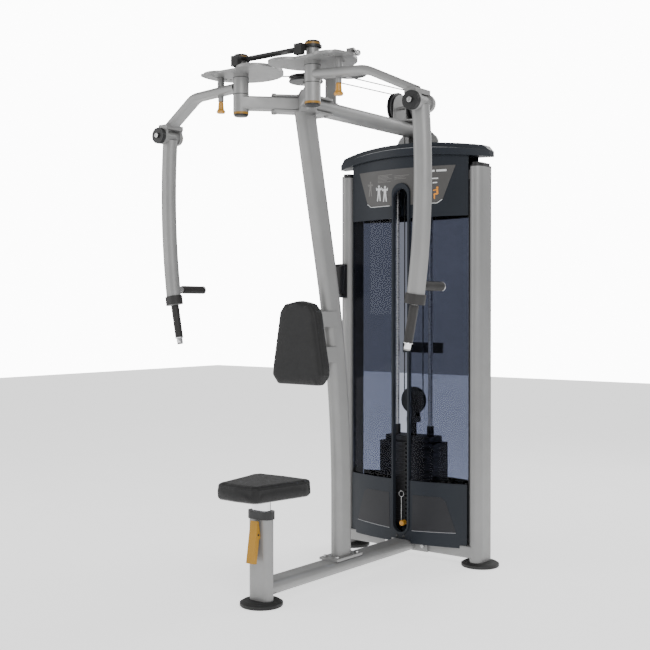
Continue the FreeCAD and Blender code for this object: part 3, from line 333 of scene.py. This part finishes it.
def lathe_mesh(profile, centre, axis=(0, 0, 1), segments=48):
    """A turned solid from (radius, height) pairs, standing on centre along axis."""
    mesh = bmesh.new()
    turn = Vector((0, 0, 1)).rotation_difference(Vector(axis)).to_matrix()
    centre = Vector(centre)
    rings = []
    for radius, height in profile:
        ring = []
        for k in range(segments):
            angle = 2 * math.pi * k / segments
            spot = Vector((radius * math.cos(angle), radius * math.sin(angle), height))
            ring.append(mesh.verts.new(centre + turn @ spot))
        rings.append(ring)
    for here, there in zip(rings, rings[1:]):
        for k in range(segments):
            mesh.faces.new((here[k], here[(k + 1) % segments], there[(k + 1) % segments], there[k]))
    for ring in (rings[0], rings[-1]):
        mesh.faces.new(ring)
    return mesh


def join(meshes):
    """Several bmeshes as one."""
    whole = bmesh.new()
    for mesh in meshes:
        data = bpy.data.meshes.new("part")
        mesh.to_mesh(data)
        mesh.free()
        whole.from_mesh(data)
        bpy.data.meshes.remove(data)
    return whole


def on_front(points, proud):
    """Points given as (x, z) put on the tower's front cover."""
    return [Vector((x, front_y(x, proud), z)) for x, z in points]


def edge_heights(outline, x, slack=2e-6):
    """The lowest and highest z of a convex (x, z) outline at x."""
    found = []
    for (x1, z1), (x2, z2) in zip(outline, outline[1:] + outline[:1]):
        if min(x1, x2) - slack <= x <= max(x1, x2) + slack:
            if abs(x2 - x1) < slack:
                found += [z1, z2]
            else:
                share = min(max((x - x1) / (x2 - x1), 0), 1)
                found.append(z1 + (z2 - z1) * share)
    return min(found), max(found)


def front_patch(outline, proud, thick=0.0006, step=0.008):
    """A thin patch that lies on the front cover, from its convex (x, z) outline."""
    mesh = bmesh.new()
    xs = {round(x, 6) for x, z in outline}
    first, last = min(xs), max(xs)
    count = max(1, math.ceil((last - first) / step))
    xs = sorted(xs | {round(first + (last - first) * i / count, 6) for i in range(count + 1)})
    columns = []
    for x in xs:
        heights = edge_heights(outline, min(max(x, first), last))
        columns.append([mesh.verts.new(p) for p in on_front([(x, z) for z in heights], proud)])
    for here, there in zip(columns, columns[1:]):
        mesh.faces.new((here[0], there[0], there[1], here[1]))
    bmesh.ops.remove_doubles(mesh, verts=mesh.verts, dist=1e-6)
    result = bmesh.ops.extrude_face_region(mesh, geom=list(mesh.faces))
    new = [v for v in result["geom"] if isinstance(v, bmesh.types.BMVert)]
    bmesh.ops.translate(mesh, verts=new, vec=(0, -thick, 0))
    return mesh


def hoop(centre, radius, thick, axis, sides=8, count=56):
    """A round ring of round section about an axis."""
    axis = Vector(axis).normalized()
    first = axis.orthogonal().normalized()
    second = axis.cross(first)
    turns = [2 * math.pi * k / count for k in range(count)]
    points = [Vector(centre) + (first * math.cos(t) + second * math.sin(t)) * radius for t in turns]
    return rod_mesh(points, thick, sides, True)


def slab(centre, size):
    """A small flat label with eased corners."""
    mesh = bmesh.new()
    bmesh.ops.create_cube(mesh, size=1)
    for vertex in mesh.verts:
        vertex.co = Vector(centre) + Vector(c * s for c, s in zip(vertex.co, size))
    bmesh.ops.bevel(mesh, geom=list(mesh.edges), offset=min(size) * 0.3, segments=2, affect="EDGES")
    return mesh


def spaced(start, end, count):
    return [tuple(a + (b - a) * i / (count - 1) for a, b in zip(start, end)) for i in range(count)]


# ---------------------------------------------------------------- upholstery
def voxel_copy(name, node, shrink, voxel):
    """A remeshed copy of a pad's CAD solid, drawn in a little before it is inflated."""
    data = nodes[node].data.copy()
    obj = bpy.data.objects.new(name, data)
    bpy.context.collection.objects.link(obj)
    obj.data.materials.clear()
    centre = middle(node)
    size = high(node) - low(node)
    for vertex in obj.data.vertices:
        offset = vertex.co - centre
        vertex.co = centre + Vector(o * (1 - 2 * shrink / s) for o, s in zip(offset, size))
    remesh = obj.modifiers.new("remesh", "REMESH")
    remesh.mode = "VOXEL"
    remesh.voxel_size = voxel
    apply_modifiers(obj)
    return obj


def apply_modifiers(obj):
    graph = bpy.context.evaluated_depsgraph_get()
    graph.update()
    done = bpy.data.meshes.new_from_object(obj.evaluated_get(graph))
    obj.modifiers.clear()
    old = obj.data
    obj.data = done
    bpy.data.meshes.remove(old)


def inflate(obj, pinned, most):
    """Swell a pad by cloth simulation; pinned picks the points held by its board."""
    held = obj.vertex_groups.new(name="held")
    held.add([v.index for v in obj.data.vertices if pinned(v.co)], 1.0, "REPLACE")
    start = [v.co.copy() for v in obj.data.vertices]
    cloth = obj.modifiers.new("stuffing", "CLOTH")
    cloth.settings.quality = 5
    cloth.settings.mass = 0.4
    cloth.settings.tension_stiffness = 18
    cloth.settings.compression_stiffness = 18
    cloth.settings.bending_stiffness = 2.0
    cloth.settings.use_pressure = True
    cloth.settings.uniform_pressure_force = 30
    cloth.settings.effector_weights.gravity = 0
    cloth.settings.vertex_group_mass = "held"
    cloth.point_cache.frame_start = 1
    cloth.point_cache.frame_end = 20
    scene = bpy.context.scene
    for step in range(1, 21):
        scene.frame_set(step)
    apply_modifiers(obj)
    scene.frame_set(1)
    for vertex, origin in zip(obj.data.vertices, start):
        moved = vertex.co - origin
        if moved.length > most:
            vertex.co = origin + moved.normalized() * most


def make_pad(name, node, body, board_side, cloth_most=0.003):
    """An upholstered pad: swollen vinyl on a board. board_side is the way the board faces."""
    voxel = 0.005
    obj = voxel_copy(name, node, 0.0015, voxel)
    board = Vector(board_side)
    back = max(v.co.dot(board) for v in obj.data.vertices)
    inflate(obj, lambda co: co.dot(board) > back - 0.004, cloth_most)
    smooth = obj.modifiers.new("soften", "SMOOTH")
    smooth.iterations = 3
    smooth.factor = 0.5
    finer = obj.modifiers.new("finer", "SUBSURF")
    finer.levels = finer.render_levels = 1
    apply_modifiers(obj)
    obj.data.materials.append(VINYL)
    for polygon in obj.data.polygons:
        polygon.use_smooth = True
    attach(obj, body)
    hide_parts(node)
    return obj


def girdle(obj, centre, normal, level, inset=0.0, count=160):
    """The closed line where a plane across the pad meets its side, drawn in by inset."""
    mesh = bmesh.new()
    mesh.from_mesh(obj.data)
    tree = BVHTree.FromBMesh(mesh)
    normal = Vector(normal)
    first = normal.orthogonal().normalized()
    second = normal.cross(first)
    points = []
    for k in range(count):
        turn = 2 * math.pi * k / count
        way = first * math.cos(turn) + second * math.sin(turn)
        start = Vector(centre) + normal * level + way * 0.5
        hit = tree.ray_cast(start, -way)[0]
        points.append(hit - way * inset)
    mesh.free()
    return points


seat_pad = make_pad("seat_cushion", "seat_pad", "seat", (0, 0, -1))
back_pad = make_pad("back_cushion", "back_pad", "frame", (0, 1, 0))

seat_mid, seat_size = middle("seat_pad"), high("seat_pad") - low("seat_pad")
back_mid, back_size = middle("back_pad"), high("back_pad") - low("back_pad")
seat_welt = girdle(seat_pad, seat_mid, (0, 0, 1), seat_size.z / 2 - 0.013, 0.0006)
piece("seat_welt", rod_mesh(seat_welt, 0.0014, 8, True), VINYL, "seat")
back_welt = girdle(back_pad, back_mid, (0, -1, 0), back_size.y / 2 - 0.012, 0.0006)
piece("back_welt", rod_mesh(back_welt, 0.0014, 8, True), VINYL, "frame")


def board_mesh(outline, way, thick, inset):
    """A thin board with the pad's own outline."""
    mesh = bmesh.new()
    centre = sum(outline, Vector()) / len(outline)
    rows = []
    for depth in (0, thick):
        row = [mesh.verts.new(p + (centre - p).normalized() * inset + Vector(way) * depth) for p in outline]
        rows.append(row)
    count = len(outline)
    for k in range(count):
        mesh.faces.new((rows[0][k], rows[0][(k + 1) % count], rows[1][(k + 1) % count], rows[1][k]))
    mesh.faces.new(rows[0])
    mesh.faces.new(rows[1][::-1])
    return mesh


seat_edge = girdle(seat_pad, seat_mid, (0, 0, 1), -seat_size.z / 2 + 0.008, 0.001)
for point in seat_edge:
    point.z = low("seat_pad").z + 0.0005
piece("seat_board", board_mesh(seat_edge, (0, 0, 1), 0.0045, 0.004), FINISHES["silver_paint"], "seat")
back_edge = girdle(back_pad, back_mid, (0, -1, 0), -back_size.y / 2 + 0.008, 0.001)
for point in back_edge:
    point.y = high("back_pad").y - 0.0005
piece("back_board", board_mesh(back_edge, (0, -1, 0), 0.0045, 0.004), BLACK, "frame")


# ---------------------------------------------------------------- pivots, knobs and grips
for side, sign in SIDES.items():
    hinge = pivot(f"cam_turn_{side}")
    arm, swing, cam = f"arm_{side}", f"swing_{side}", f"cam_{side}"
    washer = Vector((hinge.x, hinge.y, high("head_yoke").z - 0.0012))
    piece(f"housing_washer_{side}", hoop(washer, 0.0300, 0.0010, (0, 0, 1)), BLACK, "frame")
    washer.z = low(f"cam_{side}").z - 0.0020
    piece(f"sleeve_washer_{side}", hoop(washer, 0.0300, 0.0010, (0, 0, 1)), BLACK, arm)

    knuckle = pivot(f"arm_swing_{side}")
    face = Vector((knuckle.x, low(f"knuckle_bolt_{side}").y, knuckle.z))
    screw = [(0.0095, 0), (0.0095, 0.0012), (0.0080, 0.0028), (0.0046, 0.0030), (0.0046, 0.0012), (0.0004, 0.0012)]
    piece(f"knob_screw_{side}", lathe_mesh(screw, face, (0, -1, 0)), STEEL, arm)
    rims = [hoop(face + Vector((0, back, 0)), radius, 0.0013, (0, 1, 0)) for back, radius in
            ((0.0068, 0.0255), (0.0068, 0.0180), (0.0100, 0.0315), (0.0145, 0.0315), (0.0190, 0.0315))]
    piece(f"knob_rims_{side}", join(rims), BLACK, arm)
    rear = Vector((knuckle.x, high(f"knuckle_bolt_{side}").y - 0.0062, knuckle.z))
    piece(f"knuckle_ring_{side}", hoop(rear, 0.0296, 0.0015, (0, 1, 0)), OCHRE_DULL, arm)

    # the front grip leans; its axis ends at the node's lowest corner
    lean, grip_radius = math.radians(11), 0.016
    down = Vector((-sign * math.sin(lean), 0, -math.cos(lean)))
    inner_x = low(f"grips_{side}").x if sign > 0 else high(f"grips_{side}").x
    tip = Vector((inner_x + sign * grip_radius * math.cos(lean), low(f"grips_{side}").y + 0.030,
                  low(f"grips_{side}").z + grip_radius * math.sin(lean)))
    ribs = [hoop(tip - down * d, grip_radius - 0.0002, 0.0009, down, 6, 40) for d in
            [0.004 + 0.0055 * k for k in range(23)]]
    end = Vector((knuckle.x - sign * 0.022, high(f"grips_{side}").y, high(f"grips_{side}").z - grip_radius))
    ribs += [hoop(end - Vector((0, d, 0)), grip_radius - 0.0002, 0.0009, (0, 1, 0), 6, 40) for d in
             [0.004 + 0.0055 * k for k in range(21)]]
    piece(f"grip_ribs_{side}", join(ribs), GRIP, swing)
    cap = [(0.0124, 0), (0.0124, 0.021), (0.0110, 0.0245), (0.0060, 0.0265), (0.0004, 0.0268)]
    flange = [(0.0165, 0), (0.0170, 0.0012), (0.0165, 0.0030), (0.0126, 0.0034)]
    ends = [lathe_mesh(cap, tip + down * 0.0004, down), lathe_mesh(flange, tip + down * 0.0003, down),
            lathe_mesh([(r, h * 0.25) for r, h in cap], end + Vector((0, 0.0003, 0)), (0, 1, 0)),
            lathe_mesh(flange, end + Vector((0, 0.0003, 0)), (0, 1, 0))]
    piece(f"grip_ends_{side}", join(ends), CHROME, swing)

    # the cable lies in the cam's groove up to its ball end
    height, wrap = 2.010, 0.1525
    turns = [math.radians(53 - 2.0 * k) for k in range(17)]
    wound = [Vector((hinge.x + sign * wrap * math.cos(t), hinge.y + wrap * math.sin(t), height)) for t in turns]
    ball = Vector((hinge.x + sign * 0.170, hinge.y + 0.043, height - 0.0100))
    piece(f"wound_cable_{side}", rod_mesh(wound + [ball], 0.0025, 10), CABLE, cam)
    bulb = [(max(0.0115 * math.sin(math.pi * k / 12), 0.0004), -0.0115 * math.cos(math.pi * k / 12))
            for k in range(13)]
    piece(f"cable_end_{side}", lathe_mesh(bulb, ball, (0, 0, 1), 24), STEEL, cam)

# ---------------------------------------------------------------- stack, pin and slot
wheel = pivot("stack_wheel_spin")
drop_x = middle("top_pulley_right").x
under = [math.pi + math.pi * k / 32 for k in range(33)]
loop = [Vector((wheel.x + drop_x * math.cos(t), wheel.y, wheel.z + drop_x * math.sin(t))) for t in under]
piece("stack_cable_turn", rod_mesh(loop, 0.0025, 10), CABLE, "stack")

# on the machine the two falls of the cable grow shorter as the stack rises; here they are straight rods on the frame
drop_top, drop_foot = high("cable_drops").z, low("cable_drops").z
falls = [rod_mesh([(sign * drop_x, wheel.y, drop_top), (sign * drop_x, wheel.y, drop_foot)], 0.0025, 12)
         for sign in SIDES.values()]
cable_falls = piece("cable_falls", join(falls), CABLE, "frame")
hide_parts("cable_drops")
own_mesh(cable_falls)

plates_low, plates_high = low("weight_plates"), high("weight_plates")
pitch = (plates_high.z - plates_low.z + 0.0008) / 19
labels, marks = [], []
for n in range(19):
    level = plates_low.z + (n + 0.5) * pitch
    labels.append(slab((0.034, plates_low.y - 0.0003, level), (0.030, 0.0008, 0.011)))
    marks.append(slab((0.028, plates_low.y - 0.0008, level), (0.010, 0.0006, 0.0045)))
piece("plate_labels", join(labels), IRON, "stack")
piece("plate_marks", join(marks), FAINT, "stack")

pin_tip = low("weight_pin")
pin = Vector((middle("weight_pin").x, pin_tip.y, middle("weight_pin").z))
knob = [(0.0060, -0.001), (0.0112, 0.0006), (0.0128, 0.0040), (0.0112, 0.0080), (0.0086, 0.0110),
        (0.0086, 0.0150), (0.0118, 0.0190), (0.0125, 0.0240), (0.0105, 0.0290), (0.0070, 0.0300)]
piece("pin_knob", lathe_mesh(knob, pin, (0, 1, 0)), OCHRE, "weight_pin")
lift = Vector((pin.x - 0.008, pin.y + 0.012, 0))
bar = [Vector((lift.x, lift.y, pin.z + 0.006 + 0.009 * k)) for k in range(13)]
piece("pin_bar", rod_mesh(bar, 0.0016, 10), STEEL, "weight_pin")
piece("pin_ring", hoop((lift.x, lift.y, bar[-1].z + 0.0125), 0.0125, 0.0016, (0, 1, 0)), STEEL, "weight_pin")

LOWER_STEP = shell_crown - low("lower_shroud").y
dome = [(0.0068, -0.001), (0.0066, 0.0012), (0.0050, 0.0026), (0.0004, 0.0032)]
screws = [lathe_mesh(dome, (x, front_y(x, LOWER_STEP), 0.1005), (0, -1, 0), 24) for x in (-0.017, 0.017)]
piece("cover_screws", join(screws), BLACK, "frame")

# ---------------------------------------------------------------- covers, painted highlight lines on cover and cap edge, and placard
for side, sign in SIDES.items():
    panel = [(sign * x, z) for x, z in
             ((0.061, 0.286), (0.192, 0.286), (0.212, 0.270), (0.257, 0.139), (0.057, 0.130))]
    piece(f"cover_panel_{side}", front_patch(panel, LOWER_STEP - 0.0002, 0.0012), PANEL, "frame")
    # a raised rod along the embossed line of the lower cover: the ridge is real, its pale colour is a painted
    # highlight
    line = [(sign * x, z) for x, z in spaced((0.058, 0.1305), (0.256, 0.1385), 26)]
    piece(f"cover_highlight_line_{side}", rod_mesh(on_front(line, LOWER_STEP + 0.0010), 0.0014, 8), EDGE_HIGHLIGHT, "frame")
    foot_line = [(sign * x, z) for x, z in
                 spaced((0.062, 1.5425), (0.170, 1.5425), 18) + spaced((0.173, 1.5435), (0.194, 1.557), 5)]
    piece(f"placard_line_{side}", rod_mesh(on_front(foot_line, 0.0022), 0.0016, 8), PALE, "frame")

cap_half, cap_front = high("top_cap").x - 0.002, tower_y - low("top_cap").y
cap_sag = cap_front - 0.020
cap_radius = (cap_half ** 2 + cap_sag ** 2) / (2 * cap_sag)
# a pale rod along the cap's front top rim: a painted highlight where the rim catches the light
rail = []
for k in range(61):
    x = cap_half * (k / 30 - 1)
    y = low("top_cap").y + cap_radius - math.sqrt(cap_radius ** 2 - x * x)
    rail.append(Vector((x, y + 0.0008, 1.7845 - 0.030 * (x / cap_half) ** 2)))
piece("cap_highlight", rod_mesh(rail, 0.0012, 8), EDGE_HIGHLIGHT, "frame")

PRINT = 0.0016


def disc(x, z, radius, count=14):
    return [(x + radius * math.cos(2 * math.pi * k / count), z + radius * math.sin(2 * math.pi * k / count))
            for k in range(count)]


def limb(x1, z1, x2, z2, thick):
    """A tapered bar between two points, as a convex outline."""
    ahead = Vector((x2 - x1, z2 - z1)).normalized()
    side = Vector((-ahead.y, ahead.x)) * thick / 2
    return [(x1 + side.x, z1 + side.y), (x1 - side.x, z1 - side.y), (x2 - side.x * 0.8, z2 - side.y * 0.8),
            (x2 + side.x * 0.8, z2 + side.y * 0.8)]


def standing(x, z, tall, spread):
    """A generic standing figure: a disc on a few bars."""
    unit = tall / 10
    shapes = [disc(x, z + 9.2 * unit, 0.75 * unit), limb(x, z + 8.3 * unit, x, z + 4.6 * unit, 2.2 * unit)]
    for way in (-1, 1):
        shapes.append(limb(x + way * 0.5 * unit, z + 4.8 * unit, x + way * 1.2 * unit, z, 1.1 * unit))
        shapes.append(limb(x + way * 0.8 * unit, z + 7.9 * unit, x + way * spread * unit, z + 6.9 * unit, 0.8 * unit))
        shapes.append(limb(x + way * spread * unit, z + 6.9 * unit, x + way * (spread + 0.2) * unit,
                           z + 8.6 * unit, 0.7 * unit))
    return shapes


def seated(x, z, tall):
    """A generic seated figure in profile."""
    unit = tall / 10
    return [disc(x + 1.2 * unit, z + 9.2 * unit, 0.9 * unit),
            limb(x + 1.0 * unit, z + 8.2 * unit, x + 1.4 * unit, z + 4.0 * unit, 1.8 * unit),
            limb(x + 1.4 * unit, z + 4.2 * unit, x - 1.6 * unit, z + 4.0 * unit, 1.4 * unit),
            limb(x - 1.4 * unit, z + 4.2 * unit, x - 1.2 * unit, z, 1.2 * unit),
            limb(x + 1.0 * unit, z + 7.6 * unit, x - 2.4 * unit, z + 7.0 * unit, 0.9 * unit)]


def bars(left, right, low_z, high_z, rows):
    """Rows of plain bars of uneven length."""
    shapes = []
    step = (high_z - low_z) / rows
    for row in range(rows):
        reach = left + (right - left) * (0.82 + 0.18 * math.cos(2.3 * row))
        z = high_z - row * step
        shapes.append([(left, z), (reach, z), (reach, z - step * 0.42), (left, z - step * 0.42)])
    return shapes


def print_on(name, shapes, mat):
    meshes = [front_patch(shape, PRINT + 0.00008 * k, 0.0003, 0.004) for k, shape in enumerate(shapes)]
    piece(name, join(meshes), mat, "frame", smooth=False)


print_on("figures_pale", standing(-0.124, 1.567, 0.070, 1.9) + standing(-0.088, 1.562, 0.070, 1.9), PALE)
print_on("figures_faint", standing(-0.176, 1.592, 0.066, 2.1), FAINT)
print_on("figure_warm", seated(0.166, 1.560, 0.052), WARM)
print_on("bars_faint", bars(-0.130, -0.048, 1.644, 1.680, 6) + bars(-0.036, 0.040, 1.652, 1.672, 3), FAINT)
print_on("bars_pale", [[(0.118, 1.684), (0.160, 1.684), (0.160, 1.676), (0.118, 1.676)],
                       [(0.168, 1.684), (0.212, 1.684), (0.212, 1.676), (0.168, 1.676)],
                       [(0.146, 1.650), (0.176, 1.650), (0.176, 1.645), (0.146, 1.645)],
                       [(0.152, 1.632), (0.172, 1.632), (0.172, 1.627), (0.152, 1.627)]], PALE)


# ---------------------------------------------------------------- camera, floor and light
def aim(obj, target):
    obj.rotation_euler = (Vector(target) - obj.location).to_track_quat("-Z", "Y").to_euler()


def make_camera():
    data = bpy.data.cameras.new("camera")
    data.lens = 59.31
    data.sensor_width = 36
    camera = bpy.data.objects.new("camera", data)
    camera.location = (2.5809, tower_y - 3.9971, 1.0867)
    camera.rotation_euler = (math.radians(89.19), 0, math.radians(37.59))
    bpy.context.collection.objects.link(camera)
    bpy.context.scene.camera = camera


def make_light(name, spot, target, size, power, colour=(1, 1, 1)):
    data = bpy.data.lights.new(name, "AREA")
    data.shape = "RECTANGLE"
    data.size, data.size_y = size
    data.energy = power
    data.color = colour
    light = bpy.data.objects.new(name, data)
    light.location = spot
    bpy.context.collection.objects.link(light)
    aim(light, target)


def make_floor():
    mesh = bmesh.new()
    bmesh.ops.create_grid(mesh, x_segments=1, y_segments=1, size=12)
    data = bpy.data.meshes.new("floor")
    mesh.to_mesh(data)
    mesh.free()
    floor = bpy.data.objects.new("floor", data)
    bpy.context.collection.objects.link(floor)
    mat, tree, shader = new_material("pale_floor")
    tint(tree, shader, noise(tree, 2, 3), (0.86, 0.86, 0.86), (0.90, 0.90, 0.90))
    roughen(tree, shader, noise(tree, 8, 3), 0.6, 0.7)
    shader.inputs["Emission Color"].default_value = (1, 1, 1, 1)
    shader.inputs["Emission Strength"].default_value = 1.1
    floor.data.materials.append(mat)
    floor.location.z = -0.0005


def make_world():
    """Even white surroundings, a little brighter where they are the picture's background."""
    world = bpy.data.worlds.new("studio")
    world.use_nodes = True
    tree = world.node_tree
    soft = tree.nodes["Background"]
    soft.inputs["Color"].default_value = (1, 1, 1, 1)
    soft.inputs["Strength"].default_value = 0.6
    backdrop = tree.nodes.new("ShaderNodeBackground")
    backdrop.inputs["Strength"].default_value = 12.0
    ray = tree.nodes.new("ShaderNodeLightPath")
    mix = tree.nodes.new("ShaderNodeMixShader")
    tree.links.new(ray.outputs["Is Camera Ray"], mix.inputs["Fac"])
    tree.links.new(soft.outputs["Background"], mix.inputs[1])
    tree.links.new(backdrop.outputs["Background"], mix.inputs[2])
    tree.links.new(mix.outputs["Shader"], tree.nodes["World Output"].inputs["Surface"])
    backdrop.inputs["Color"].default_value = (1, 1, 1, 1)
    bpy.context.scene.world = world


make_camera()
make_floor()
make_world()
make_light("key", (3.0, -3.2, 3.4), (0, 0, 1.0), (2.4, 2.0), 85)
make_light("fill", (-3.2, -2.4, 2.2), (0, 0, 1.0), (2.0, 2.4), 34)
make_light("rim", (0.6, 3.4, 3.2), (0, 0, 1.2), (2.6, 1.6), 55)
